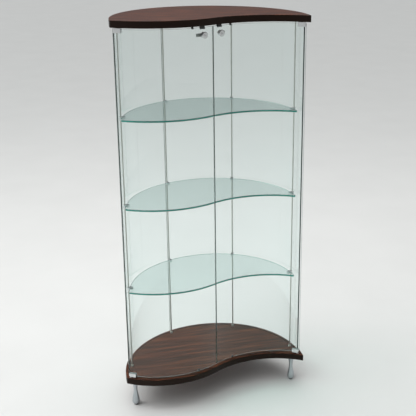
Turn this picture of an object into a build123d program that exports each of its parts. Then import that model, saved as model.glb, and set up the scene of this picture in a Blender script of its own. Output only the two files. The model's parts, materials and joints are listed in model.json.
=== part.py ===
"""Curio cabinet with an S-shaped pair of bent glass doors and a round glass back.

Millimetres. +Z is up, -Y is the front, +X is to the right as one stands in front of it.
The origin is on the floor under the middle of the plan.

The plan has two tips, one at each side.  The line between them is the tip line.  The back is
half round, and the front is an S made of two equal arcs that meet on the tip line: the left
lobe swings forward and the right lobe swings back.
"""
from build123d import *
from math import asin, atan2, cos, degrees, radians, sin, sqrt
import os

os.makedirs("parts", exist_ok=True)

# ---------------------------------------------------------------- driving dimensions
WIDTH = 850.0  # tip to tip
SIDE_STRAIGHT = 22.0  # short straight side between each tip and the half-round back
FRONT_SAG = 64.0  # how far each lobe of the front swings away from the tip line
PANEL = 30.0  # thickness of the base and of the top
OPENING = 1600.0  # clear height between base and top
LEG_HEIGHT = 125.0  # floor to the underside of the base
LEFT_TIP_ROUND = 12.0
RIGHT_TIP_ROUND = 6.0
EDGE_ROUND = 1.5  # eased edges of the base and the top

# glass
GLASS = 6.0  # doors and back
GLASS_INSET = 13.0  # edge of the top to the outer face of the back glass
BACK_SPLIT_ANGLE = 23.6  # where the three back panes meet, measured from straight back
JOINT_BEAD = 1.6  # clear bead between two back panes
GROOVE_DEPTH = 9.0  # in the base and in the top
CHANNEL_WALL = 1.0  # soft channel that lines the groove
GLAZING_SLIP = 0.1  # channel to glass, each side

# doors
DOOR_SETBACK = 18.0  # the doors follow the front edge, this far behind it
DOOR_GAP = 5.0  # between the two doors where they meet
PIVOT_INSET = 8.0  # pivot axis to the hinge-side end of the door
SWING_GAP = 1.3  # between a turning door end and the back glass

# pivot hinges
PIN_RADIUS = 3.0
PIN_DEPTH = 10.0  # into the bush
PIN_END_GAP = 1.0  # bush bored this much deeper than the pin goes
RUNNING = 0.05  # radial clearance of a pin in its bush and of a plug in its barrel
FACE_GAP = 0.3  # between faces that turn past each other
BUSH_RADIUS = 5.0
BUSH_LENGTH = 13.0
BUSH_FLANGE_RADIUS = 7.5
BUSH_FLANGE = 2.0
CLAMP_WEB = 5.0  # solid end of a clamp, past the glass
CLAMP_GRIP = 14.0  # how much of the glass a clamp holds
CLAMP_REACH = 28.0  # from the pivot axis along the door
CLAMP_ROUND = 2.0  # upright edges at the clamp's far end
CLAMP_PIN_WALL = 1.0  # metal left between a pin and the glass
PAD = 1.0  # soft pad between glass and clamp
PAD_MARGIN = 2.0  # clamp's far end to the pad
PAD_PAST_PIVOT = 4.0
CLAMP_SCREW_RADIUS = 2.5
CLAMP_SCREW_PLACES = (7.0, 20.0)  # from the pivot axis along the door
SCREW_RECESS = 0.6  # a grub screw's end below the clamp's face
SOCKET_RADIUS = 1.4  # hexagon socket of a grub screw, over its corners
SOCKET_DEPTH = 1.5

# shelves
SHELF = 8.0  # thickness
SHELF_PITCH = 400.0  # base to first shelf, and shelf to shelf, at mid thickness
SHELF_BACK_GAP = 15.0  # back glass to the shelf's round edge
SHELF_FRONT = 55.0  # tip line to the shelf's own tips
SHELF_SAG = 53.0
SHELF_NAMES = ("lower", "middle", "upper")
SHELF_EDGE = 0.8  # arrised glass edge

# posts and shelf clips
POST_RADIUS = 3.0
POST_STANDOFF = 10.0  # back glass to the middle of a post
POST_ANGLES = {"left_side": -78.0, "left_back": -23.6, "right_back": 23.6, "right_side": 78.0}
SLIP = 0.05  # sleeve to post, and fixing to hole
CUP_RADIUS = 7.0
CUP_HEIGHT = 8.0
CUP_ROUND = 2.0
CLIP_RADIUS = 6.5
CLIP_WIDTH = 11.0
CLIP_REACH = 20.0  # from the post's middle, inwards over the shelf
CLIP_JAW = 3.5  # thickness above and below the shelf
CLIP_ROUND = 2.0
CLIP_HEEL_GAP = 0.5  # shelf edge to the heel of the clip's mouth
CLIP_PAD = 1.0
CLIP_PAD_MARGIN = 1.0  # pad's edge inside the clip's edge
CLIP_TOP_GAP = 0.5
CLIP_SCREW_RADIUS = 2.0
CLIP_SOCKET_RADIUS = 1.1
CLIP_SOCKET_DEPTH = 1.2

# legs
LEG_TOP_RADIUS = 18.0
LEG_NECK_RADIUS = 9.0
LEG_BULB_RADIUS = 17.0
LEG_FOOT_RADIUS = 9.0
LEG_BELLY_RADIUS = 14.8  # between foot and bulb
BELLY_SHARE = 0.3  # height of the belly, as a share of the bulb's
LEG_TOP_BAND = 2.0  # straight rim under the base
NECK_SHARE = 0.56  # height of the neck, as a share of the turned leg
BULB_HEIGHT = 18.0  # above the bottom of the turned leg
GLIDE_HEIGHT = 3.0
GLIDE_PEG_RADIUS = 2.5
GLIDE_PEG = 8.0
STUD_RADIUS = 5.0
STUD_IN_LEG = 22.0
STUD_IN_BASE = 18.0
INSERT_RADIUS = 7.0
INSERT_LENGTH = 20.0
LEFT_TIP_TO_LEG = 40.0
RIGHT_TIP_TO_LEG = 44.0
LEFT_LEG_BACK = 22.0  # from the tip line
RIGHT_LEG_BACK = 60.0  # further back, behind the hollow lobe
BACK_LEG_ANGLE = 35.0
BACK_LEG_RADIUS = 360.0

# door locks
LOCK_INSET = 47.0  # along the door from the middle of the gap
LOCK_DROP = 40.0  # below the top panel
BARREL_RADIUS = 9.0
BARREL_LENGTH = 18.0  # behind the front washer
LOCK_HOLE_SLACK = 0.5  # barrel to the hole in the glass
ROSE_RADIUS = 14.0
ROSE_THICKNESS = 5.0
ROSE_ROUND = 2.5
LOCK_WASHER = 1.0
LOCK_NUT_RADIUS = 13.0
LOCK_NUT_THICKNESS = 5.0
PLUG_RADIUS = 7.0
PLUG_PROUD = 0.8
KEYWAY = (1.6, 8.0, 6.0)  # width, length and depth
SPIGOT_RADIUS = 4.0
SPIGOT_SHOULDER = 1.0  # plug past the barrel's end face gap
SPIGOT_END = 1.0  # spigot past the cam's nut
CAM_THICKNESS = 2.0
CAM_WIDTH = 14.0
CAM_LENGTH = 31.0  # lock axis to the cam's tip
CAM_NUT_ACROSS = 12.0
CAM_NUT_THICKNESS = 3.5

# strike plates
STRIKE_THICKNESS = 2.0
STRIKE_WIDTH = 26.0
STRIKE_DROP = 16.0
STRIKE_LEAF = 22.0
STRIKE_TO_CAM = 0.8  # between the strike and the turned cam
STRIKE_SCREW_RADIUS = 1.75
STRIKE_SCREW_LENGTH = 15.0
STRIKE_SCREW_END_GAP = 0.5
STRIKE_SCREW_SPACING = 14.0
SCREW_HEAD_RADIUS = 3.2
SCREW_HEAD = 1.6

# door stops, small buffers behind the foot and the head of each door
STOP_PLACE = 100.0  # along the door from the middle of the gap
STOP_RADIUS = 5.0
STOP_HEIGHT = 12.0
STOP_PIN_RADIUS = 2.5
STOP_PIN = 9.0
STOP_ROUND = 1.5
STOP_GAP = 0.4  # closed door to its stops

# ---------------------------------------------------------------- heights and plan
base_z = LEG_HEIGHT
floor_z = base_z + PANEL  # top face of the base, the cabinet's inner floor
ceiling_z = floor_z + OPENING  # underside of the top

half_width = WIDTH / 2
lobe_width = half_width / 2  # half the width of one lobe
lobe_radius = (lobe_width**2 + FRONT_SAG**2) / (2 * FRONT_SAG)
lobe_rise = lobe_radius - FRONT_SAG  # tip line to the centre of a lobe's arc
back_reach = half_width + SIDE_STRAIGHT
tip_y = -(back_reach - FRONT_SAG) / 2
back_centre = (0.0, tip_y + SIDE_STRAIGHT)

back_glass_radius = half_width - GLASS_INSET - GLASS / 2  # middle of the glass
back_inner_radius = back_glass_radius - GLASS / 2
post_circle = back_inner_radius - POST_STANDOFF
shelf_radius = back_inner_radius - SHELF_BACK_GAP
groove_width = GLASS + 2 * (GLAZING_SLIP + CHANNEL_WALL)

# doors: lengths along a door are measured from the middle of the gap towards the hinge
lobe_half_angle = degrees(asin(lobe_width / lobe_radius))
door_end_x = half_width - GLASS_INSET
door_arc_angle = lobe_half_angle + degrees(asin((door_end_x - lobe_width) / lobe_radius))
door_length = radians(door_arc_angle) * lobe_radius
pivot_at = door_length - PIVOT_INSET
clamp_height = CLAMP_WEB + CLAMP_GRIP
door_low_z = floor_z + BUSH_FLANGE + FACE_GAP + CLAMP_WEB
door_high_z = ceiling_z - BUSH_FLANGE - FACE_GAP - CLAMP_WEB
lock_z = ceiling_z - LOCK_DROP

# lock, along its axis from the middle of the glass: + is outside the door
rose_back = GLASS / 2 + LOCK_WASHER
barrel_end = rose_back - BARREL_LENGTH
cam_front = barrel_end - FACE_GAP - SPIGOT_SHOULDER
cam_back = cam_front - CAM_THICKNESS
strike_back = cam_front + STRIKE_TO_CAM

SIDES = {"left": -1, "right": 1}


def along_door(side, length):
    """Point, direction towards the hinge and outward direction at a length along a door."""
    centre_x = side * lobe_width
    centre_y = tip_y + DOOR_SETBACK - side * lobe_rise
    meet_angle = atan2(side * lobe_rise, -side * lobe_width)
    angle = meet_angle - length / lobe_radius
    point = (centre_x + lobe_radius * cos(angle), centre_y + lobe_radius * sin(angle))
    to_hinge = (sin(angle), -cos(angle))
    outward = (-side * cos(angle), -side * sin(angle))
    return point, to_hinge, outward


def polar(centre, radius, angle):
    """Point at an angle in degrees from straight back, positive to the right."""
    return (centre[0] + radius * sin(radians(angle)), centre[1] + radius * cos(radians(angle)))


def arc_band(centre, radius, thickness, start, size):
    """Flat band of constant thickness along an arc, angles in degrees from +X."""
    with BuildSketch() as band:
        with BuildLine():
            outer = CenterArc(centre, radius + thickness / 2, start, size)
            inner = CenterArc(centre, radius - thickness / 2, start, size)
            Line(outer @ 0, inner @ 0)
            Line(outer @ 1, inner @ 1)
        make_face()
    return band.sketch


def door_band(side, first, last, thickness, offset=0.0):
    """Band along a door's arc between two lengths, moved outwards by offset."""
    centre = (side * lobe_width, tip_y + DOOR_SETBACK - side * lobe_rise)
    meet_angle = degrees(atan2(side * lobe_rise, -side * lobe_width))
    start = meet_angle - degrees(first / lobe_radius)
    size = -degrees((last - first) / lobe_radius)
    return arc_band(centre, lobe_radius - side * offset, thickness, start, size)


def s_outline(half, line_y, sag, back_radius):
    """Plan of a panel or a shelf: S-shaped front between two tips, and a round back."""
    side_y = max(line_y, back_centre[1])
    with BuildSketch() as plan:
        with BuildLine():
            ThreePointArc((-half, line_y), (-half / 2, line_y - sag), (0, line_y))
            ThreePointArc((0, line_y), (half / 2, line_y + sag), (half, line_y))
            if side_y > line_y:
                Line((half, line_y), (half, side_y))
                Line((-half, side_y), (-half, line_y))
            ThreePointArc((half, side_y), (0, back_centre[1] + back_radius), (-half, side_y))
        make_face()
    return plan.sketch


def glass_start(side):
    """Angle above the side where a back pane may start, clear of the turning door end."""
    pivot, to_hinge, _ = along_door(side, pivot_at)
    swing = sqrt(PIVOT_INSET**2 + (GLASS / 2) ** 2) + SWING_GAP
    cheek = (PIVOT_INSET + FACE_GAP) / abs(to_hinge[0])  # inner face of the leaning clamp
    return degrees(asin((pivot[1] + max(swing, cheek) - back_centre[1]) / back_glass_radius))


# ---------------------------------------------------------------- places used more than once
left_start = glass_start(-1)
right_start = glass_start(1)
right_size = 90 - right_start - BACK_SPLIT_ANGLE
left_size = 90 - left_start - BACK_SPLIT_ANGLE
back_sweep = 180 - left_start - right_start
bead_angle = degrees(JOINT_BEAD / back_glass_radius)

pivots = {}
lock_planes = {}
clamp_directions = {}
for side_name, side in SIDES.items():
    pivots[side_name] = along_door(side, pivot_at)[0]
    ahead = along_door(side, pivot_at - CLAMP_REACH / 2)[0]
    clamp_directions[side_name] = (ahead[0] - pivots[side_name][0], ahead[1] - pivots[side_name][1], 0)
    place, to_hinge, outward = along_door(side, LOCK_INSET)
    lock_planes[side_name] = Plane(
        origin=(*place, lock_z), x_dir=(*to_hinge, 0), z_dir=(*outward, 0)
    )

leg_places = {
    "front_left": (-half_width + LEFT_TIP_TO_LEG, tip_y + LEFT_LEG_BACK),
    "front_right": (half_width - RIGHT_TIP_TO_LEG, tip_y + RIGHT_LEG_BACK),
    "back_left": polar(back_centre, BACK_LEG_RADIUS, -BACK_LEG_ANGLE),
    "back_right": polar(back_centre, BACK_LEG_RADIUS, BACK_LEG_ANGLE),
}
post_places = {name: polar(back_centre, post_circle, angle) for name, angle in POST_ANGLES.items()}
shelf_heights = [floor_z + SHELF_PITCH * number for number in (1, 2, 3)]

stop_places = []
for side in SIDES.values():
    spot, _, outward = along_door(side, STOP_PLACE)
    behind = GLASS / 2 + STOP_GAP + STOP_RADIUS
    stop_places.append((spot[0] - behind * outward[0], spot[1] - behind * outward[1]))

strike_screw_places = [
    (-STRIKE_SCREW_SPACING / 2, strike_back - STRIKE_LEAF / 2),
    (STRIKE_SCREW_SPACING / 2, strike_back - STRIKE_LEAF / 2),
]


def strike_plane(side_name, height):
    """Level plane over a lock: X along the door, Y out of the cabinet."""
    frame = lock_planes[side_name]
    outward = frame.z_dir
    return Plane(
        origin=(frame.origin.X, frame.origin.Y, height),
        x_dir=(outward.Y, -outward.X, 0),
        z_dir=(0, 0, 1),
    )


panel_plan = s_outline(half_width, tip_y, FRONT_SAG, half_width)
groove_plan = arc_band(back_centre, back_glass_radius, groove_width, right_start, back_sweep)


def panel_sketch():
    """The panel's outline with its two tips rounded."""
    with BuildSketch() as outline:
        add(panel_plan)
        tips = outline.vertices().filter_by(lambda corner: abs(corner.Y - tip_y) < 0.1)
        left_tip = tips.sort_by(Axis.X)[0]
        right_tip = tips.sort_by(Axis.X)[-1]
        fillet(left_tip, radius=LEFT_TIP_ROUND)
        fillet(right_tip, radius=RIGHT_TIP_ROUND)
    return outline.sketch


rounded_plan = panel_sketch()

# ---------------------------------------------------------------- base panel
with BuildPart() as base_panel:
    with BuildSketch(Plane.XY.offset(base_z)):
        add(rounded_plan)
    extrude(amount=PANEL)
    flat_faces = base_panel.faces().filter_by(Axis.Z)
    fillet(flat_faces.edges(), radius=EDGE_ROUND)
    with BuildSketch(Plane.XY.offset(floor_z)):
        add(groove_plan)
    extrude(amount=-GROOVE_DEPTH, mode=Mode.SUBTRACT)
    with Locations(*[Location((*pivot, floor_z)) for pivot in pivots.values()]):
        Hole(radius=BUSH_RADIUS, depth=BUSH_LENGTH)
    with BuildSketch(Plane.XY.offset(base_z)):
        with Locations(*leg_places.values()):
            Circle(INSERT_RADIUS)
    extrude(amount=INSERT_LENGTH, mode=Mode.SUBTRACT)
    with BuildSketch(Plane.XY.offset(floor_z)):
        with Locations(*stop_places):
            Circle(STOP_PIN_RADIUS)
    extrude(amount=-STOP_PIN, mode=Mode.SUBTRACT)
base_panel.part.label = "base_panel"
export_step(base_panel.part, "parts/base_panel.step")

# ---------------------------------------------------------------- top panel
with BuildPart() as top_panel:
    with BuildSketch(Plane.XY.offset(ceiling_z)):
        add(rounded_plan)
    extrude(amount=PANEL)
    flat_faces = top_panel.faces().filter_by(Axis.Z)
    fillet(flat_faces.edges(), radius=EDGE_ROUND)
    with BuildSketch(Plane.XY.offset(ceiling_z)):
        add(groove_plan)
    extrude(amount=GROOVE_DEPTH, mode=Mode.SUBTRACT)
    with BuildSketch(Plane.XY.offset(ceiling_z)):
        with Locations(*pivots.values()):
            Circle(BUSH_RADIUS)
    extrude(amount=BUSH_LENGTH, mode=Mode.SUBTRACT)
    for side_name in SIDES:
        with BuildSketch(strike_plane(side_name, ceiling_z)):
            with Locations(*strike_screw_places):
                Circle(STRIKE_SCREW_RADIUS)
        extrude(amount=STRIKE_SCREW_LENGTH - STRIKE_THICKNESS, mode=Mode.SUBTRACT)
    with BuildSketch(Plane.XY.offset(ceiling_z)):
        with Locations(*stop_places):
            Circle(STOP_PIN_RADIUS)
    extrude(amount=STOP_PIN, mode=Mode.SUBTRACT)
top_panel.part.label = "top_panel"
export_step(top_panel.part, "parts/top_panel.step")

# ---------------------------------------------------------------- soft channels in the grooves
glass_slot_plan = arc_band(
    back_centre, back_glass_radius, GLASS + 2 * GLAZING_SLIP, right_start, back_sweep
)
channel_places = {
    "bottom": (floor_z - GROOVE_DEPTH, 1),
    "top": (ceiling_z + GROOVE_DEPTH, -1),
}
for place_name, (height, up) in channel_places.items():
    with BuildPart() as glazing_channel:
        with BuildSketch(Plane.XY.offset(height)):
            add(groove_plan)
        extrude(amount=up * GROOVE_DEPTH)
        with BuildSketch(Plane.XY.offset(height + up * CHANNEL_WALL)):
            add(glass_slot_plan)
        extrude(amount=up * GROOVE_DEPTH, mode=Mode.SUBTRACT)
    glazing_channel.part.label = f"glazing_channel_{place_name}"
    export_step(glazing_channel.part, f"parts/glazing_channel_{place_name}.step")

# ---------------------------------------------------------------- back glass in three bent panes
pane_low_z = floor_z - GROOVE_DEPTH + CHANNEL_WALL
pane_height = OPENING + 2 * (GROOVE_DEPTH - CHANNEL_WALL)
centre_first = 90 - BACK_SPLIT_ANGLE
panes = {
    "right": (right_start, right_size - bead_angle / 2),
    "centre": (centre_first + bead_angle / 2, 2 * BACK_SPLIT_ANGLE - bead_angle),
    "left": (90 + BACK_SPLIT_ANGLE + bead_angle / 2, left_size - bead_angle / 2),
}
for pane_name, (start, size) in panes.items():
    with BuildPart() as back_glass:
        with BuildSketch(Plane.XY.offset(pane_low_z)):
            add(arc_band(back_centre, back_glass_radius, GLASS, start, size))
        extrude(amount=pane_height)
    back_glass.part.label = f"back_glass_{pane_name}"
    export_step(back_glass.part, f"parts/back_glass_{pane_name}.step")

with BuildPart() as joint_beads:
    with BuildSketch(Plane.XY.offset(pane_low_z)):
        for split in (90 - BACK_SPLIT_ANGLE, 90 + BACK_SPLIT_ANGLE):
            add(arc_band(back_centre, back_glass_radius, GLASS, split - bead_angle / 2, bead_angle))
    extrude(amount=pane_height)
joint_beads.part.label = "joint_beads"
export_step(joint_beads.part, "parts/joint_beads.step")

# ---------------------------------------------------------------- posts and their end cups
for post_name, place in post_places.items():
    with BuildPart() as post:
        with BuildSketch(Plane.XY.offset(floor_z)):
            with Locations(place):
                Circle(POST_RADIUS)
        extrude(amount=OPENING)
    post.part.label = f"post_{post_name}"
    export_step(post.part, f"parts/post_{post_name}.step")

with BuildPart() as post_cups:
    for height, up in ((floor_z, 1), (ceiling_z, -1)):
        with BuildSketch(Plane.XY.offset(height)):
            with Locations(*post_places.values()):
                Circle(CUP_RADIUS)
        extrude(amount=up * CUP_HEIGHT)
    rims = post_cups.edges().filter_by(GeomType.CIRCLE)
    inner_rims = [rim for rim in rims if floor_z + 1 < rim.center().Z < ceiling_z - 1]
    fillet(inner_rims, radius=CUP_ROUND)
    with BuildSketch(Plane.XY.offset(floor_z)):
        with Locations(*post_places.values()):
            Circle(POST_RADIUS + SLIP)
    extrude(amount=OPENING, mode=Mode.SUBTRACT)
post_cups.part.label = "post_cups"
export_step(post_cups.part, "parts/post_cups.step")

# ---------------------------------------------------------------- glass shelves
shelf_line_y = tip_y + SHELF_FRONT
shelf_half = sqrt(shelf_radius**2 - (shelf_line_y - back_centre[1]) ** 2)
shelf_plan = s_outline(shelf_half, shelf_line_y, SHELF_SAG, shelf_radius)
for shelf_name, height in zip(SHELF_NAMES, shelf_heights):
    with BuildPart() as shelf:
        with BuildSketch(Plane.XY.offset(height - SHELF / 2)):
            add(shelf_plan)
        extrude(amount=SHELF)
        upright_edges = shelf.edges().filter_by(Axis.Z).sort_by(Axis.X)
        fillet([upright_edges[0], upright_edges[-1]], radius=SHELF / 2)
        chamfer(shelf.faces().filter_by(Axis.Z).edges(), length=SHELF_EDGE)
    shelf.part.label = f"shelf_{shelf_name}"
    export_step(shelf.part, f"parts/shelf_{shelf_name}.step")

# ---------------------------------------------------------------- shelf clips, pads and screws
slot_low = -SHELF / 2 - CLIP_PAD
slot_high = SHELF / 2 + CLIP_TOP_GAP
clip_low = slot_low - CLIP_JAW
clip_height = slot_high + CLIP_JAW - clip_low
jaw_start = POST_STANDOFF - SHELF_BACK_GAP  # post centre to shelf edge, outwards
pad_length = CLIP_REACH + jaw_start - CLIP_PAD_MARGIN


def post_plane(name, height):
    """Level plane on a post: X along the shelf's edge, Y outwards to the glass."""
    angle = radians(POST_ANGLES[name])
    return Plane(
        origin=(*post_places[name], height), x_dir=(cos(angle), -sin(angle), 0), z_dir=(0, 0, 1)
    )


def clip_screw_plane(name, height):
    """Upright plane through a post's middle, facing along the shelf's edge."""
    level = post_plane(name, height)
    return Plane(origin=level.origin, x_dir=level.y_dir, z_dir=level.x_dir)


for shelf_name, height in zip(SHELF_NAMES, shelf_heights):
    with BuildPart() as shelf_clips:
        for post_name in POST_ANGLES:
            with BuildSketch(post_plane(post_name, height + clip_low)):
                Circle(CLIP_RADIUS)
                with Locations((0, -CLIP_REACH / 2)):
                    RectangleRounded(CLIP_WIDTH, CLIP_REACH, radius=CLIP_ROUND)
            extrude(amount=clip_height)
        for post_name in POST_ANGLES:
            with BuildSketch(post_plane(post_name, height + slot_low)):
                with Locations((0, jaw_start + CLIP_HEEL_GAP - CLIP_REACH / 2)):
                    Rectangle(2 * CLIP_WIDTH, CLIP_REACH)
            extrude(amount=slot_high - slot_low, mode=Mode.SUBTRACT)
            with BuildSketch(post_plane(post_name, height + clip_low)):
                Circle(POST_RADIUS + SLIP)
            extrude(amount=clip_height, mode=Mode.SUBTRACT)
            with BuildSketch(clip_screw_plane(post_name, height)):
                Circle(CLIP_SCREW_RADIUS + SLIP)
            extrude(amount=CLIP_RADIUS, mode=Mode.SUBTRACT)
    shelf_clips.part.label = f"shelf_clips_{shelf_name}"
    export_step(shelf_clips.part, f"parts/shelf_clips_{shelf_name}.step")

with BuildPart() as shelf_pads:
    for height in shelf_heights:
        for post_name in POST_ANGLES:
            with BuildSketch(post_plane(post_name, height + slot_low)):
                with Locations((0, jaw_start - pad_length / 2)):
                    Rectangle(CLIP_WIDTH - 2 * CLIP_PAD_MARGIN, pad_length)
            extrude(amount=CLIP_PAD)
shelf_pads.part.label = "shelf_pads"
export_step(shelf_pads.part, "parts/shelf_pads.step")

# grub screws that hold the clips to the posts
clip_screw_end = CLIP_RADIUS - SCREW_RECESS
with BuildPart() as clip_screws:
    for height in shelf_heights:
        for post_name in POST_ANGLES:
            screw_plane = clip_screw_plane(post_name, height)
            with BuildSketch(screw_plane.offset(POST_RADIUS)):
                Circle(CLIP_SCREW_RADIUS)
            extrude(amount=clip_screw_end - POST_RADIUS)
            with BuildSketch(screw_plane.offset(clip_screw_end)):
                RegularPolygon(radius=CLIP_SOCKET_RADIUS, side_count=6)
            extrude(amount=-CLIP_SOCKET_DEPTH, mode=Mode.SUBTRACT)
clip_screws.part.label = "clip_screws"
export_step(clip_screws.part, "parts/clip_screws.step")

# ---------------------------------------------------------------- legs, studs, inserts, glides
turned_low = GLIDE_HEIGHT
turned_height = LEG_HEIGHT - GLIDE_HEIGHT
neck_z = turned_low + turned_height * NECK_SHARE
bulb_z = turned_low + BULB_HEIGHT
for leg_name, place in leg_places.items():
    with BuildPart() as leg:
        with BuildSketch(Plane(origin=(*place, 0), x_dir=(1, 0, 0), z_dir=(0, -1, 0))):
            with BuildLine():
                Line((0, turned_low), (LEG_FOOT_RADIUS, turned_low))
                ThreePointArc(
                    (LEG_FOOT_RADIUS, turned_low),
                    (LEG_BELLY_RADIUS, turned_low + BULB_HEIGHT * BELLY_SHARE),
                    (LEG_BULB_RADIUS, bulb_z),
                )
                Spline(
                    (LEG_BULB_RADIUS, bulb_z),
                    (LEG_NECK_RADIUS, neck_z),
                    (LEG_TOP_RADIUS, LEG_HEIGHT - LEG_TOP_BAND),
                    tangents=[(-0.1, 1), (0.5, 1)],
                )
                Line((LEG_TOP_RADIUS, LEG_HEIGHT - LEG_TOP_BAND), (LEG_TOP_RADIUS, LEG_HEIGHT))
                Line((LEG_TOP_RADIUS, LEG_HEIGHT), (0, LEG_HEIGHT))
                Line((0, LEG_HEIGHT), (0, turned_low))
            make_face()
        revolve(axis=Axis((*place, 0), (0, 0, 1)))
        with BuildSketch(Plane.XY.offset(LEG_HEIGHT)):
            with Locations(place):
                Circle(STUD_RADIUS)
        extrude(amount=-STUD_IN_LEG, mode=Mode.SUBTRACT)
        with BuildSketch(Plane.XY.offset(turned_low)):
            with Locations(place):
                Circle(GLIDE_PEG_RADIUS)
        extrude(amount=GLIDE_PEG, mode=Mode.SUBTRACT)
    leg.part.label = f"leg_{leg_name}"
    export_step(leg.part, f"parts/leg_{leg_name}.step")

with BuildPart() as leg_studs:
    with BuildSketch(Plane.XY.offset(LEG_HEIGHT - STUD_IN_LEG)):
        with Locations(*leg_places.values()):
            Circle(STUD_RADIUS - SLIP)
    extrude(amount=STUD_IN_LEG + STUD_IN_BASE)
leg_studs.part.label = "leg_studs"
export_step(leg_studs.part, "parts/leg_studs.step")

with BuildPart() as leg_inserts:
    with BuildSketch(Plane.XY.offset(base_z)):
        with Locations(*leg_places.values()):
            Circle(INSERT_RADIUS - SLIP)
            Circle(STUD_RADIUS, mode=Mode.SUBTRACT)
    extrude(amount=INSERT_LENGTH)
leg_inserts.part.label = "leg_inserts"
export_step(leg_inserts.part, "parts/leg_inserts.step")

with BuildPart() as leg_glides:
    with BuildSketch():
        with Locations(*leg_places.values()):
            Circle(LEG_FOOT_RADIUS)
    extrude(amount=GLIDE_HEIGHT)
    with BuildSketch(Plane.XY.offset(GLIDE_HEIGHT)):
        with Locations(*leg_places.values()):
            Circle(GLIDE_PEG_RADIUS - SLIP)
    extrude(amount=GLIDE_PEG)
leg_glides.part.label = "leg_glides"
export_step(leg_glides.part, "parts/leg_glides.step")

# ---------------------------------------------------------------- pivot bushes in base and top
with BuildPart() as pivot_bushes:
    for height, up in ((floor_z, 1), (ceiling_z, -1)):
        with BuildSketch(Plane.XY.offset(height)):
            with Locations(*pivots.values()):
                Circle(BUSH_FLANGE_RADIUS)
        extrude(amount=up * BUSH_FLANGE)
        with BuildSketch(Plane.XY.offset(height)):
            with Locations(*pivots.values()):
                Circle(BUSH_RADIUS - SLIP)
        extrude(amount=-up * BUSH_LENGTH)
        with BuildSketch(Plane.XY.offset(height + up * BUSH_FLANGE)):
            with Locations(*pivots.values()):
                Circle(PIN_RADIUS + RUNNING)
        extrude(amount=-up * (BUSH_FLANGE + PIN_DEPTH + PIN_END_GAP), mode=Mode.SUBTRACT)
pivot_bushes.part.label = "pivot_bushes"
export_step(pivot_bushes.part, "parts/pivot_bushes.step")

# ---------------------------------------------------------------- strike plates and their screws
with BuildPart() as strike_plates:
    for side_name in SIDES:
        with BuildSketch(strike_plane(side_name, ceiling_z)):
            with Locations((0, strike_back + STRIKE_THICKNESS - STRIKE_LEAF / 2)):
                Rectangle(STRIKE_WIDTH, STRIKE_LEAF)
        extrude(amount=-STRIKE_THICKNESS)
        with BuildSketch(strike_plane(side_name, ceiling_z)):
            with Locations((0, strike_back + STRIKE_THICKNESS / 2)):
                Rectangle(STRIKE_WIDTH, STRIKE_THICKNESS)
        extrude(amount=-STRIKE_DROP)
    for side_name in SIDES:
        with BuildSketch(strike_plane(side_name, ceiling_z)):
            with Locations(*strike_screw_places):
                Circle(STRIKE_SCREW_RADIUS + SLIP)
        extrude(amount=-STRIKE_THICKNESS, mode=Mode.SUBTRACT)
strike_plates.part.label = "strike_plates"
export_step(strike_plates.part, "parts/strike_plates.step")

with BuildPart() as strike_screws:
    for side_name in SIDES:
        with BuildSketch(strike_plane(side_name, ceiling_z - STRIKE_THICKNESS)):
            with Locations(*strike_screw_places):
                Circle(SCREW_HEAD_RADIUS)
        extrude(amount=-SCREW_HEAD)
        with BuildSketch(strike_plane(side_name, ceiling_z - STRIKE_THICKNESS)):
            with Locations(*strike_screw_places):
                Circle(STRIKE_SCREW_RADIUS - SLIP)
        extrude(amount=STRIKE_SCREW_LENGTH - STRIKE_SCREW_END_GAP)
strike_screws.part.label = "strike_screws"
export_step(strike_screws.part, "parts/strike_screws.step")

# ---------------------------------------------------------------- door stops in base and top
with BuildPart() as door_stops:
    for height, up in ((floor_z, 1), (ceiling_z, -1)):
        with BuildSketch(Plane.XY.offset(height)):
            with Locations(*stop_places):
                Circle(STOP_RADIUS)
        extrude(amount=up * STOP_HEIGHT)
    rims = door_stops.edges().filter_by(GeomType.CIRCLE)
    inner_rims = [rim for rim in rims if floor_z + 1 < rim.center().Z < ceiling_z - 1]
    fillet(inner_rims, radius=STOP_ROUND)
    for height, up in ((floor_z, 1), (ceiling_z, -1)):
        with BuildSketch(Plane.XY.offset(height)):
            with Locations(*stop_places):
                Circle(STOP_PIN_RADIUS - SLIP)
        extrude(amount=-up * STOP_PIN)
door_stops.part.label = "door_stops"
export_step(door_stops.part, "parts/door_stops.step")

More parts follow.
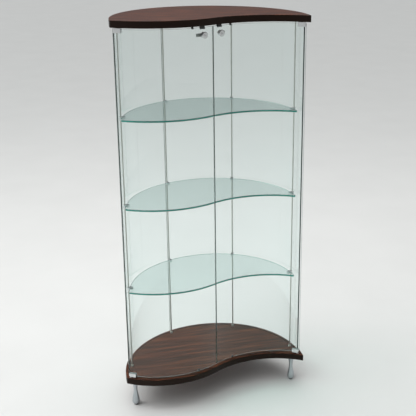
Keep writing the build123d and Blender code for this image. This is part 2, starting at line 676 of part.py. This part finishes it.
# ---------------------------------------------------------------- doors
for side_name, side in SIDES.items():
    pivot = pivots[side_name]
    lock_plane = lock_planes[side_name]

    # bent door glass, drilled for the lock
    with BuildPart() as door_glass:
        with BuildSketch(Plane.XY.offset(door_low_z)):
            add(door_band(side, DOOR_GAP / 2, door_length, GLASS))
        extrude(amount=door_high_z - door_low_z)
        with BuildSketch(lock_plane):
            Circle(BARREL_RADIUS + LOCK_HOLE_SLACK)
        extrude(amount=GLASS * 2, both=True, mode=Mode.SUBTRACT)
    door_glass.part.label = f"door_glass_{side_name}"
    export_step(door_glass.part, f"parts/door_glass_{side_name}.step")

    # pivot clamps: a round nose about the pivot, two cheeks and a web past the glass
    slot_ends = (pivot_at - CLAMP_REACH - PIVOT_INSET, door_length + PIVOT_INSET)
    slot_plan = door_band(side, *slot_ends, GLASS + 2 * PAD)
    clamps = {
        "bottom": (door_low_z - CLAMP_WEB, 1),
        "top": (door_high_z + CLAMP_WEB, -1),
    }
    for place_name, (height, up) in clamps.items():
        clamp_plane = Plane(
            origin=(*pivot, height), x_dir=clamp_directions[side_name], z_dir=(0, 0, 1)
        )
        with BuildPart() as hinge_clamp:
            with BuildSketch(clamp_plane):
                Circle(PIVOT_INSET)
                with Locations((CLAMP_REACH / 2, 0)):
                    Rectangle(CLAMP_REACH, 2 * PIVOT_INSET)
            extrude(amount=up * clamp_height)
            far_edges = hinge_clamp.edges().filter_by(Axis.Z)
            far_edges = far_edges.sort_by_distance(Vector(*pivot, height))[-2:]
            fillet(far_edges, radius=CLAMP_ROUND)
            with BuildSketch(Plane.XY.offset(height + up * CLAMP_WEB)):
                add(slot_plan)
            extrude(amount=up * (CLAMP_GRIP + 1), mode=Mode.SUBTRACT)
            with BuildSketch(clamp_plane):
                Circle(PIN_RADIUS + SLIP)
            extrude(amount=up * (CLAMP_WEB - CLAMP_PIN_WALL), mode=Mode.SUBTRACT)
            screw_height = height + up * (CLAMP_WEB + CLAMP_GRIP / 2)
            for reach in CLAMP_SCREW_PLACES:
                spot, _, outward = along_door(side, pivot_at - reach)
                with BuildSketch(Plane(origin=(*spot, screw_height), z_dir=(*outward, 0))):
                    Circle(CLAMP_SCREW_RADIUS + SLIP)
                extrude(amount=-2 * PIVOT_INSET, mode=Mode.SUBTRACT)
        hinge_clamp.part.label = f"hinge_clamp_{place_name}_{side_name}"
        export_step(hinge_clamp.part, f"parts/hinge_clamp_{place_name}_{side_name}.step")

    # pivot pins in the clamps
    with BuildPart() as hinge_pins:
        for height, up in clamps.values():
            pin_in_clamp = CLAMP_WEB - CLAMP_PIN_WALL
            with BuildSketch(Plane.XY.offset(height + up * pin_in_clamp)):
                with Locations(pivot):
                    Circle(PIN_RADIUS)
            extrude(amount=-up * (pin_in_clamp + FACE_GAP + BUSH_FLANGE + PIN_DEPTH))
    hinge_pins.part.label = f"hinge_pins_{side_name}"
    export_step(hinge_pins.part, f"parts/hinge_pins_{side_name}.step")

    # soft pads either side of the glass
    pad_ends = (pivot_at - CLAMP_REACH + PAD_MARGIN, pivot_at + PAD_PAST_PIVOT)
    with BuildPart() as hinge_pads:
        for height, up in clamps.values():
            with BuildSketch(Plane.XY.offset(height + up * CLAMP_WEB)):
                for offset in (-1, 1):
                    gap_middle = offset * (GLASS + PAD) / 2
                    add(door_band(side, *pad_ends, PAD, gap_middle))
            extrude(amount=up * CLAMP_GRIP)
    hinge_pads.part.label = f"hinge_pads_{side_name}"
    export_step(hinge_pads.part, f"parts/hinge_pads_{side_name}.step")

    # grub screws through the inner cheeks, pressing on the pads
    with BuildPart() as hinge_screws:
        for height, up in clamps.values():
            screw_height = height + up * (CLAMP_WEB + CLAMP_GRIP / 2)
            for reach in CLAMP_SCREW_PLACES:
                spot, _, outward = along_door(side, pivot_at - reach)
                start = GLASS / 2 + PAD + SLIP
                grub_plane = Plane(origin=(*spot, screw_height), z_dir=(*outward, 0)).offset(-start)
                with BuildSketch(grub_plane):
                    Circle(CLAMP_SCREW_RADIUS)
                screw_length = PIVOT_INSET - start - SCREW_RECESS
                extrude(amount=-screw_length)
                with BuildSketch(grub_plane.offset(-screw_length)):
                    RegularPolygon(radius=SOCKET_RADIUS, side_count=6)
                extrude(amount=SOCKET_DEPTH, mode=Mode.SUBTRACT)
    hinge_screws.part.label = f"hinge_screws_{side_name}"
    export_step(hinge_screws.part, f"parts/hinge_screws_{side_name}.step")

    # lock barrel with its round rose outside the door
    with BuildPart() as lock_barrel:
        with BuildSketch(lock_plane.offset(rose_back)):
            Circle(ROSE_RADIUS)
        extrude(amount=ROSE_THICKNESS)
        outer_rim = lock_barrel.edges().filter_by(GeomType.CIRCLE)
        outer_rim = outer_rim.sort_by_distance(lock_plane.offset(50).origin)[0]
        fillet(outer_rim, radius=ROSE_ROUND)
        with BuildSketch(lock_plane.offset(rose_back)):
            Circle(BARREL_RADIUS)
        extrude(amount=-BARREL_LENGTH)
        with BuildSketch(lock_plane.offset(rose_back + ROSE_THICKNESS)):
            Circle(PLUG_RADIUS + RUNNING)
        extrude(amount=-(BARREL_LENGTH + ROSE_THICKNESS), mode=Mode.SUBTRACT)
    lock_barrel.part.label = f"lock_barrel_{side_name}"
    export_step(lock_barrel.part, f"parts/lock_barrel_{side_name}.step")

    # soft washers, flat against the rose and the nut and moulded to the bent glass
    with BuildPart() as lock_washers:
        with BuildSketch(lock_plane.offset(-rose_back)):
            Circle(LOCK_NUT_RADIUS)
            Circle(BARREL_RADIUS + SLIP, mode=Mode.SUBTRACT)
        extrude(amount=2 * rose_back)
        with BuildSketch(Plane.XY.offset(lock_z - ROSE_RADIUS)):
            add(door_band(side, 0, 2 * LOCK_INSET, GLASS))
        extrude(amount=2 * ROSE_RADIUS, mode=Mode.SUBTRACT)
    lock_washers.part.label = f"lock_washers_{side_name}"
    export_step(lock_washers.part, f"parts/lock_washers_{side_name}.step")

    # round nut that holds the barrel from inside
    with BuildPart() as lock_nut:
        with BuildSketch(lock_plane.offset(-rose_back)):
            Circle(LOCK_NUT_RADIUS)
            Circle(BARREL_RADIUS + SLIP, mode=Mode.SUBTRACT)
        extrude(amount=-LOCK_NUT_THICKNESS)
    lock_nut.part.label = f"lock_nut_{side_name}"
    export_step(lock_nut.part, f"parts/lock_nut_{side_name}.step")

    # plug with its keyway, and the spigot that carries the cam
    with BuildPart() as lock_plug:
        with BuildSketch(lock_plane.offset(rose_back + ROSE_THICKNESS + PLUG_PROUD)):
            Circle(PLUG_RADIUS)
        extrude(amount=-(rose_back + ROSE_THICKNESS + PLUG_PROUD - cam_front))
        with BuildSketch(lock_plane.offset(cam_front)):
            Circle(SPIGOT_RADIUS)
        extrude(amount=-(CAM_THICKNESS + CAM_NUT_THICKNESS + SPIGOT_END))
        with BuildSketch(lock_plane.offset(rose_back + ROSE_THICKNESS + PLUG_PROUD)):
            Rectangle(KEYWAY[1], KEYWAY[0])
        extrude(amount=-KEYWAY[2], mode=Mode.SUBTRACT)
    lock_plug.part.label = f"lock_plug_{side_name}"
    export_step(lock_plug.part, f"parts/lock_plug_{side_name}.step")

    # cam, at rest pointing along the door towards the hinge: the door is free to open
    with BuildPart() as lock_cam:
        with BuildSketch(lock_plane.offset(cam_front)):
            Circle(CAM_WIDTH / 2)
            with Locations((CAM_LENGTH / 2, 0)):
                Rectangle(CAM_LENGTH, CAM_WIDTH)
            Circle(SPIGOT_RADIUS + SLIP, mode=Mode.SUBTRACT)
        extrude(amount=-CAM_THICKNESS)
    lock_cam.part.label = f"lock_cam_{side_name}"
    export_step(lock_cam.part, f"parts/lock_cam_{side_name}.step")

    with BuildPart() as cam_nut:
        with BuildSketch(lock_plane.offset(cam_back)):
            RegularPolygon(radius=CAM_NUT_ACROSS / 2, side_count=6, major_radius=False)
            Circle(SPIGOT_RADIUS + SLIP, mode=Mode.SUBTRACT)
        extrude(amount=-CAM_NUT_THICKNESS)
    cam_nut.part.label = f"cam_nut_{side_name}"
    export_step(cam_nut.part, f"parts/cam_nut_{side_name}.step")
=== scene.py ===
# %% [markdown]
# # A curio cabinet: dark veneer, bent glass and chrome
#
# The cabinet is a tall glass case.  Two S-shaped veneered panels, the base and the top, hold a
# half-round glass back and two bent glass doors.  The shape, the hinges and the locks come from
# the CAD model, so this lesson is about finishes: how each real material looks and how to build
# that look from nodes, with patterns whose scale is a real size in millimetres.

# %% Load the fixed frame
import json
import math

import bpy
import numpy
from mathutils import Matrix, Vector

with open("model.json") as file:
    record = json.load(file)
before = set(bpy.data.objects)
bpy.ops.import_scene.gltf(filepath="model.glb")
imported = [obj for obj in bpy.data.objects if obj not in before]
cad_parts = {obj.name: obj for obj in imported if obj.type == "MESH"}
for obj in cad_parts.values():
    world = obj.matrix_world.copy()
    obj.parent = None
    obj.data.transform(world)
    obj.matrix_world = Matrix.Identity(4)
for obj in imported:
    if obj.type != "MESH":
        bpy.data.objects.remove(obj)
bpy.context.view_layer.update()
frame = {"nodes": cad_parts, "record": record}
nodes = frame["nodes"]

# %% [markdown]
# ## Two small helpers
#
# Paint makers and screens give colours as sRGB hex values, but a shader works in linear light, so
# one function turns hex to linear.  A second function adds a node, sets its options, fills its
# sockets and links them, which keeps each material below down to a few readable lines.

# %% Helpers for colour and nodes
MM = 0.001


def linear(hex_value):
    """Linear RGBA of an sRGB hex colour such as 'c9ced1'."""
    channels = [int(hex_value[i:i + 2], 16) / 255 for i in (0, 2, 4)]
    straight = [c / 12.92 if c <= 0.04045 else ((c + 0.055) / 1.055) ** 2.4 for c in channels]
    return (*straight, 1.0)


def add_node(material, kind, sockets=None, **settings):
    """Adds a node to a material or a world.

    sockets maps an input to a value, or to an output socket to link it.
    """
    made = material.node_tree.nodes.new(kind)
    for name, value in settings.items():
        setattr(made, name, value)
    for key, value in (sockets or {}).items():
        if isinstance(value, bpy.types.NodeSocket):
            material.node_tree.links.new(value, made.inputs[key])
        else:
            made.inputs[key].default_value = value
    return made


def new_material(name):
    """An empty node material and its output node."""
    material = bpy.data.materials.new(name)
    material.use_nodes = True
    material.node_tree.nodes.clear()
    output = material.node_tree.nodes.new("ShaderNodeOutputMaterial")
    return material, output


def connect(material, source, target):
    material.node_tree.links.new(source, target)


def ramp(material, factor, stops):
    """A colour ramp with (position, hex) stops."""
    made = add_node(material, "ShaderNodeValToRGB", {"Fac": factor})
    elements = made.color_ramp.elements
    while len(elements) < len(stops):
        elements.new(0.5)
    for element, (position, hex_value) in zip(elements, stops):
        element.position = position
        element.color = linear(hex_value)
    return made.outputs["Color"]


print("white is", linear("ffffff"))

# %% [markdown]
# ## Wenge veneer under satin lacquer
#
# Wenge is a very dark brown wood with fine straight lines and long open pores.  Here it is sliced
# into veneer, glued to the panels with the grain running along the width, and lacquered.  One
# could paint stripes with a Wave texture, but real grain never repeats, so stretched noise is
# used: 60 times longer along the grain than across it.  Streaks of three spacings are mixed.  The
# finest real pores are a few tenths of a millimetre wide, too fine for a render of the whole
# cabinet, so the finest streaks are drawn 2 mm apart.  On the panels' edges the grain follows the
# edge, so there the streaks run level instead.  The edges are also painted nearly black: painted
# shade, because these upright faces get less light from above than the level faces.
#
# The lacquer's IOR is set a little below that of a real one, and its mirror image is tinted warm,
# because fibres under a satin lacquer send light back in their own brown.

# %% Wenge veneer
STREAK_LENGTH = 60  # a streak is this many times longer than it is wide
PORE_MM, LINE_MM, BAND_MM = 2.0, 5.0, 28.0  # spacings of the three streaks
PORE_SHARE, LINE_SHARE, BAND_SHARE = 0.42, 0.40, 0.18
LEVEL_ENOUGH = 0.6  # |normal Z| past which a surface is a face of the panel and not its edge


def streaks(material, place, normal_z, spacing_mm, detail, seed):
    """Noise stretched along the grain: across Y on level faces, across Z on the panels' edges."""
    across = 1 / (spacing_mm * MM)
    along = across / STREAK_LENGTH
    level = add_node(material, "ShaderNodeMapping", {"Vector": place, "Scale": (along, across, along)})
    edge = add_node(material, "ShaderNodeMapping", {"Vector": place, "Scale": (along, along, across)})
    chosen = add_node(
        material, "ShaderNodeMix",
        {"Factor": normal_z, 4: edge.outputs["Vector"], 5: level.outputs["Vector"]},
        data_type="VECTOR",
    )
    noise = add_node(
        material, "ShaderNodeTexNoise",
        {"Vector": chosen.outputs[1], "W": seed, "Scale": 1.0, "Detail": detail, "Roughness": 0.6},
        noise_dimensions="4D",
    )
    return noise.outputs["Fac"]


def wenge_veneer():
    material, output = new_material("wenge_veneer_satin_lacquer")
    texture = add_node(material, "ShaderNodeTexCoord")
    place = texture.outputs["Object"]
    split = add_node(material, "ShaderNodeSeparateXYZ", {"Vector": texture.outputs["Normal"]})
    upright = add_node(material, "ShaderNodeMath", {0: split.outputs["Z"]}, operation="ABSOLUTE")
    level = add_node(
        material, "ShaderNodeMath", {0: upright.outputs[0], 1: LEVEL_ENOUGH},
        operation="GREATER_THAN",
    )
    face = level.outputs[0]
    pores = streaks(material, place, face, PORE_MM, 4.0, 1.0)
    lines = streaks(material, place, face, LINE_MM, 3.0, 7.0)
    bands = streaks(material, place, face, BAND_MM, 2.0, 13.0)

    mixed = add_node(material, "ShaderNodeMath", {0: lines, 1: LINE_SHARE}, operation="MULTIPLY")
    wide = add_node(
        material, "ShaderNodeMath", {0: bands, 1: BAND_SHARE, 2: mixed.outputs[0]},
        operation="MULTIPLY_ADD",
    )
    fine = add_node(
        material, "ShaderNodeMath", {0: pores, 1: PORE_SHARE, 2: wide.outputs[0]},
        operation="MULTIPLY_ADD",
    )
    wood = ramp(
        material, fine.outputs[0],
        [(0.42, "0f0503"), (0.48, "2e130a"), (0.53, "4e2415"), (0.61, "7c462a")],
    )
    # painted shade: the panels' upright edges get a far darker ramp than the level faces, for the light
    # they lack
    edge_colour_with_painted_shade = ramp(material, fine.outputs[0], [(0.42, "070403"), (0.60, "120907"), (0.75, "20110c")])
    colour = add_node(
        material, "ShaderNodeMix", {"Factor": face, 6: edge_colour_with_painted_shade, 7: wood}, data_type="RGBA"
    )
    gloss = add_node(
        material, "ShaderNodeMapRange",
        {"Value": pores, "From Min": 0.3, "From Max": 0.7, "To Min": 0.44, "To Max": 0.33},
    )
    dents = add_node(
        material, "ShaderNodeBump", {"Height": fine.outputs[0], "Strength": 0.35, "Distance": 0.12 * MM}
    )
    lacquer = add_node(
        material, "ShaderNodeBsdfPrincipled",
        {
            "Base Color": colour.outputs[2], "Roughness": gloss.outputs[0], "IOR": 1.33,
            "Specular Tint": linear("e8c4ae"),
            "Coat Weight": 0.06, "Coat Roughness": 0.25, "Coat IOR": 1.4,
            "Normal": dents.outputs[0],
        },
    )
    connect(material, lacquer.outputs[0], output.inputs["Surface"])
    return material


wenge = wenge_veneer()
print(wenge.name, "nodes:", len(wenge.node_tree.nodes))

# %% [markdown]
# ## Clear float glass
#
# Clear glass isn't colourless: iron in it takes out a little red, so a pane looks faintly green
# face on and deep teal along its rims, where light travels far inside it.  The faint green is
# absorption in the volume, worked out per metre.  Light that enters a rim bounces between the two
# faces more often than a renderer follows it, and the rim would turn out black.  So the ground rims
# get the glass's own teal with painted light for what travels inside: a painted glow on the shelves
# and painted shade on the panes.
#
# Glass in Cycles throws a full shadow, because rays from lamps are straight and can't follow the
# bend.  Panes this thin hardly move light, so rays that come from lamps pass straight through a
# transparent shader.  The mirror image seen face on is set to half of what real glass gives: a
# pale studio floor in front would otherwise veil the dark wood behind the doors.

# %% Glass
GLASS_IOR = 1.52
PASSED = (0.9312, 0.96, 0.9504, 1.0)  # share of lamp light that a surface lets through
MIRRORED = (0.5, 0.5, 0.5, 1.0)  # of the mirror image that real glass gives face on
FACE_ENOUGH = 0.7  # how squarely a normal points through the sheet on a face


def through_sheet(material, place, axis):
    """Which way is through a sheet: up for a level one, or away from the axis (x, y) of a bend."""
    if axis is None:
        return add_node(material, "ShaderNodeCombineXYZ", {"Z": 1.0}).outputs[0]
    away = add_node(
        material, "ShaderNodeVectorMath", {0: place, 1: (*axis, 0.0)}, operation="SUBTRACT"
    )
    level = add_node(
        material, "ShaderNodeVectorMath", {0: away.outputs[0], 1: (1.0, 1.0, 0.0)},
        operation="MULTIPLY",
    )
    return add_node(
        material, "ShaderNodeVectorMath", {0: level.outputs[0]}, operation="NORMALIZE"
    ).outputs[0]


def float_glass(name, tint, per_metre, rim_painted_light_hex, rim_share, axis=None):
    """Clear glass with a ground rim, where the normal doesn't point through the sheet; the rim's colour
    is painted light.
    """
    material, output = new_material(name)
    texture = add_node(material, "ShaderNodeTexCoord")
    through = through_sheet(material, texture.outputs["Object"], axis)
    facing = add_node(
        material, "ShaderNodeVectorMath",
        {0: texture.outputs["Normal"], 1: through}, operation="DOT_PRODUCT",
    )
    flatness = add_node(
        material, "ShaderNodeMath", {0: facing.outputs["Value"]}, operation="ABSOLUTE"
    )
    rim = add_node(
        material, "ShaderNodeMath", {0: flatness.outputs[0], 1: FACE_ENOUGH}, operation="LESS_THAN"
    )
    clear_body = add_node(
        material, "ShaderNodeBsdfPrincipled",
        {
            "Base Color": linear("ffffff"), "Roughness": 0.0, "IOR": GLASS_IOR,
            "Transmission Weight": 1.0, "Specular Tint": MIRRORED,
        },
    )
    rays = add_node(material, "ShaderNodeLightPath")
    passed = add_node(material, "ShaderNodeBsdfTransparent", {"Color": PASSED})
    # painted light: the rim's colour stands in for light carried inside the sheet, bright on the
    # shelves and dark on the panes
    painted_rim_body = add_node(
        material, "ShaderNodeBsdfPrincipled",
        {
            "Base Color": linear(rim_painted_light_hex), "Roughness": 0.22, "IOR": GLASS_IOR,
            "Transmission Weight": 1.0 - rim_share,
        },
    )
    seen = add_node(
        material, "ShaderNodeMixShader",
        {0: rim.outputs[0], 1: clear_body.outputs[0], 2: painted_rim_body.outputs[0]},
    )
    mixed = add_node(
        material, "ShaderNodeMixShader",
        {0: rays.outputs["Is Shadow Ray"], 1: seen.outputs[0], 2: passed.outputs[0]},
    )
    taken = add_node(
        material, "ShaderNodeVolumeAbsorption", {"Color": linear(tint), "Density": per_metre}
    )
    connect(material, mixed.outputs[0], output.inputs["Surface"])
    connect(material, taken.outputs[0], output.inputs["Volume"])
    return material


def bend_axis(node):
    """The upright axis that a bent pane's two faces share, as (x, y), from the pane's own mesh."""
    points = numpy.array([corner.co[:2] for corner in nodes[node].data.vertices])
    rows = numpy.column_stack([points, numpy.ones(len(points))])
    fitted = numpy.linalg.lstsq(rows, (points ** 2).sum(axis=1), rcond=None)[0]
    return float(fitted[0]) / 2, float(fitted[1]) / 2


# rim colours over the glass's own teal: a painted glow on the shelves' rims and painted shade on the
# panes' rims
GLASS_TINT, SHELF_RIM_PAINTED_GLOW, PANE_RIM_PAINTED_SHADE = "7cecdf", "2ea394", "17342f"
shelf_glass = float_glass("clear_float_glass_shelf", GLASS_TINT, 16.0, SHELF_RIM_PAINTED_GLOW, 0.7)
panes = {}
for pane in ("back_glass_centre", "door_glass_left", "door_glass_right"):
    axis = bend_axis(pane)
    panes[pane] = float_glass(f"bent_float_{pane}", GLASS_TINT, 9.0, PANE_RIM_PAINTED_SHADE, 0.6, axis)
    print(pane, "is bent round x, y =", [round(value, 4) for value in axis])

# %% [markdown]
# ## Metals
#
# Chrome plate is a thin mirror over polished metal.  It has no colour of its own, and what makes
# it look handled is a faint haze that changes from place to place, so its roughness wanders a
# little.  On the turned legs the plate is satin, so they look grey and not like a mirror.  Satin
# nickel on the posts is brushed along their length, and zinc on screws and studs is dull and
# slightly mottled.  A metal keeps the default IOR.

# %% Metals


def plated_metal(name, hex_value, smooth, hazy, haze_mm, dent_mm=0.0, stretch=(1, 1, 1)):
    """A metal whose roughness wanders between two values over a real distance."""
    material, output = new_material(name)
    texture = add_node(material, "ShaderNodeTexCoord")
    size = 1 / (haze_mm * MM)
    turned = add_node(
        material, "ShaderNodeMapping",
        {"Vector": texture.outputs["Object"], "Scale": tuple(size * part for part in stretch)},
    )
    noise = add_node(
        material, "ShaderNodeTexNoise",
        {"Vector": turned.outputs["Vector"], "Scale": 1.0, "Detail": 4.0, "Roughness": 0.55},
    )
    haze = add_node(
        material, "ShaderNodeMapRange",
        {
            "Value": noise.outputs["Fac"], "From Min": 0.3, "From Max": 0.7,
            "To Min": smooth, "To Max": hazy,
        },
    )
    metal = add_node(
        material, "ShaderNodeBsdfPrincipled",
        {"Base Color": linear(hex_value), "Metallic": 1.0, "Roughness": haze.outputs[0]},
    )
    if dent_mm:
        dents = add_node(
            material, "ShaderNodeBump",
            {"Height": noise.outputs["Fac"], "Strength": 0.4, "Distance": dent_mm * MM},
        )
        connect(material, dents.outputs[0], metal.inputs["Normal"])
    connect(material, metal.outputs[0], output.inputs["Surface"])
    return material


chrome = plated_metal("chrome_plate_polished", "d3d4d5", 0.06, 0.14, 9.0)
leg_chrome = plated_metal("satin_chrome_on_turned_steel", "b3b8bc", 0.16, 0.26, 14.0)
nickel = plated_metal("satin_nickel_brushed", "b9b8b2", 0.24, 0.36, 0.8, 0.02, (1, 1, 0.02))
zinc = plated_metal("zinc_plated_steel", "b4b5b3", 0.30, 0.46, 2.5, 0.03)
print(chrome.name, leg_chrome.name, nickel.name, zinc.name)

# %% [markdown]
# ## Plastics and lacquered steel
#
# Moulded nylon and vinyl show a fine spark-eroded texture from the mould, and soft clear vinyl
# lets some light in.  The channels in the panels' grooves and the door stops are dark brown vinyl,
# so they hardly show beside the veneer.  The strike plates are steel with a black baked lacquer,
# whose faint orange peel comes from the spray.

# %% Plastics


def moulded(name, hex_value, rough, grain_mm, dent_mm, through=0.0):
    """A moulded or sprayed coat: a plain colour with fine bumps, and maybe some light inside."""
    material, output = new_material(name)
    texture = add_node(material, "ShaderNodeTexCoord")
    noise = add_node(
        material, "ShaderNodeTexNoise",
        {"Vector": texture.outputs["Object"], "Scale": 1 / (grain_mm * MM), "Detail": 3.0},
    )
    shade = add_node(
        material, "ShaderNodeMapRange",
        {
            "Value": noise.outputs["Fac"], "From Min": 0.3, "From Max": 0.7,
            "To Min": rough - 0.05, "To Max": rough + 0.05,
        },
    )
    dents = add_node(
        material, "ShaderNodeBump",
        {"Height": noise.outputs["Fac"], "Strength": 0.5, "Distance": dent_mm * MM},
    )
    coat = add_node(
        material, "ShaderNodeBsdfPrincipled",
        {
            "Base Color": linear(hex_value), "Roughness": shade.outputs[0], "IOR": 1.5,
            "Transmission Weight": through, "Normal": dents.outputs[0],
        },
    )
    connect(material, coat.outputs[0], output.inputs["Surface"])
    return material


vinyl = moulded("clear_soft_vinyl", "dfe8e4", 0.30, 1.2, 0.02, 0.55)
dark_vinyl = moulded("dark_brown_soft_vinyl", "1b1311", 0.42, 1.2, 0.02)
grey_nylon = moulded("moulded_grey_nylon", "4a4b4d", 0.55, 0.6, 0.03)
white_nylon = moulded("moulded_white_nylon", "e4e2dc", 0.50, 0.6, 0.03)
black_lacquer = moulded("black_baked_lacquer", "151516", 0.32, 1.6, 0.03)
print(vinyl.name, dark_vinyl.name, grey_nylon.name, white_nylon.name, black_lacquer.name)

# %% [markdown]
# ## Give every CAD piece its finish
#
# The record names a material slot for each node.  Each slot has one finish here, so the finish
# follows the record and no piece is forgotten.  The two doors are bent round axes of their own,
# so each has its own glass.

# %% Finishes by slot
FINISHES = {
    "wenge_veneer": wenge,
    "back_glass": panes["back_glass_centre"],
    "shelf_glass": shelf_glass,
    "clear_vinyl": vinyl,
    "dark_vinyl": dark_vinyl,
    "satin_nickel": nickel,
    "chrome_plate": chrome,
    "leg_chrome": leg_chrome,
    "zinc_steel": zinc,
    "grey_nylon": grey_nylon,
    "white_nylon": white_nylon,
    "black_steel": black_lacquer,
}
for part in frame["record"]["subparts"]:
    piece = nodes[part["node"]]
    for place in piece.material_slots:
        place.material = panes.get(part["node"]) or FINISHES[part["material_slot"]]

# %% [markdown]
# ## The studio
#
# A glass case needs something pale and even behind it.  The floor is a big pale disc.  The world
# is a soft grey that grows bright towards one high place on the left, like a room with a
# rooflight.  Upright glass and chrome then mirror its darker walls, and rims and legs keep their
# contrast.  Two soft lamps stand in for a high window and a light ceiling.  They hang high, so
# that upright glass seen from above doesn't mirror them.

# %% Floor
FLOOR_RADIUS = 60.0
bpy.ops.object.select_all(action="DESELECT")
bpy.ops.mesh.primitive_circle_add(vertices=96, radius=FLOOR_RADIUS, fill_type="NGON")
floor = bpy.context.object
floor.name = "studio_floor"


def studio_floor():
    material, output = new_material("pale_studio_floor")
    texture = add_node(material, "ShaderNodeTexCoord")
    noise = add_node(
        material, "ShaderNodeTexNoise",
        {"Vector": texture.outputs["Object"], "Scale": 1 / (400 * MM), "Detail": 3.0},
    )
    shade = ramp(material, noise.outputs["Fac"], [(0.3, "d0cfcd"), (0.7, "d3d2d0")])
    paint = add_node(
        material, "ShaderNodeBsdfPrincipled", {"Base Color": shade, "Roughness": 0.45, "IOR": 1.45}
    )
    connect(material, paint.outputs[0], output.inputs["Surface"])
    return material


floor.data.materials.append(studio_floor())
print("floor is", 2 * FLOOR_RADIUS, "m across")

# %% Soft lamps and the world


def soft_lamp(name, place, aim, size, watts):
    """A rectangular area lamp at a place, turned to face a point."""
    lamp = bpy.data.lights.new(name, "AREA")
    lamp.shape = "RECTANGLE"
    lamp.size, lamp.size_y = size
    lamp.energy = watts
    holder = bpy.data.objects.new(name, lamp)
    holder.location = place
    towards = Vector(aim) - Vector(place)
    holder.rotation_euler = towards.to_track_quat("-Z", "Y").to_euler()
    bpy.context.scene.collection.objects.link(holder)


MIDDLE = (0, 0, 0.9)
soft_lamp("window_left", (-4.2, 0.6, 4.4), MIDDLE, (3.0, 2.0), 80)
soft_lamp("ceiling", (0.2, 0.8, 4.4), (0, 0, 0), (4.0, 3.0), 80)

BRIGHTEST = Vector((-0.50, 0.05, 0.86)).normalized()  # where the soft daylight comes from
ROOFLIGHT, WALLS = 2.45, 0.26  # strength there, added to the strength all round
SPREAD = 3.0  # a higher power makes the bright place smaller
world = bpy.data.worlds.new("soft_studio")
world.use_nodes = True
background = world.node_tree.nodes["Background"]
look = add_node(world, "ShaderNodeTexCoord")
towards = add_node(
    world, "ShaderNodeVectorMath", {0: look.outputs["Generated"], 1: BRIGHTEST},
    operation="DOT_PRODUCT",
)
above = add_node(world, "ShaderNodeMath", {0: towards.outputs["Value"], 1: 0.0}, operation="MAXIMUM")
falloff = add_node(world, "ShaderNodeMath", {0: above.outputs[0], 1: SPREAD}, operation="POWER")
sky = add_node(
    world, "ShaderNodeMath", {0: falloff.outputs[0], 1: ROOFLIGHT, 2: WALLS},
    operation="MULTIPLY_ADD",
)
connect(world, sky.outputs[0], background.inputs["Strength"])
background.inputs["Color"].default_value = linear("eceff0")
bpy.context.scene.world = world
bpy.context.scene.view_settings.view_transform = "Standard"
print("world:", world.name, "lamps:", len(bpy.data.lights))

# %% [markdown]
# ## Camera
#
# The camera stands a little left of the cabinet at about the height of a raised tripod, and looks
# down at it, so that the top and the base both show as ovals.

# %% Camera
CAMERA_PLACE = (-0.703, -3.681, 2.228)
CAMERA_TURN = math.radians(15.12)  # to the right of straight ahead
CAMERA_TILT = math.radians(18.08)  # below level
CAMERA_ROLL = math.radians(0.5)
camera_data = bpy.data.cameras.new("camera")
camera_data.lens = 73.6
camera_data.sensor_width = 36.0
camera_data.shift_x = -0.144
camera_data.shift_y = -0.060
camera = bpy.data.objects.new("camera", camera_data)
aimed = (
    Matrix.Rotation(-CAMERA_TURN, 4, "Z")
    @ Matrix.Rotation(math.pi / 2 - CAMERA_TILT, 4, "X")
    @ Matrix.Rotation(CAMERA_ROLL, 4, "Z")
)
camera.matrix_world = Matrix.Translation(CAMERA_PLACE) @ aimed
bpy.context.scene.collection.objects.link(camera)
bpy.context.scene.camera = camera
print("camera stands at", CAMERA_PLACE)
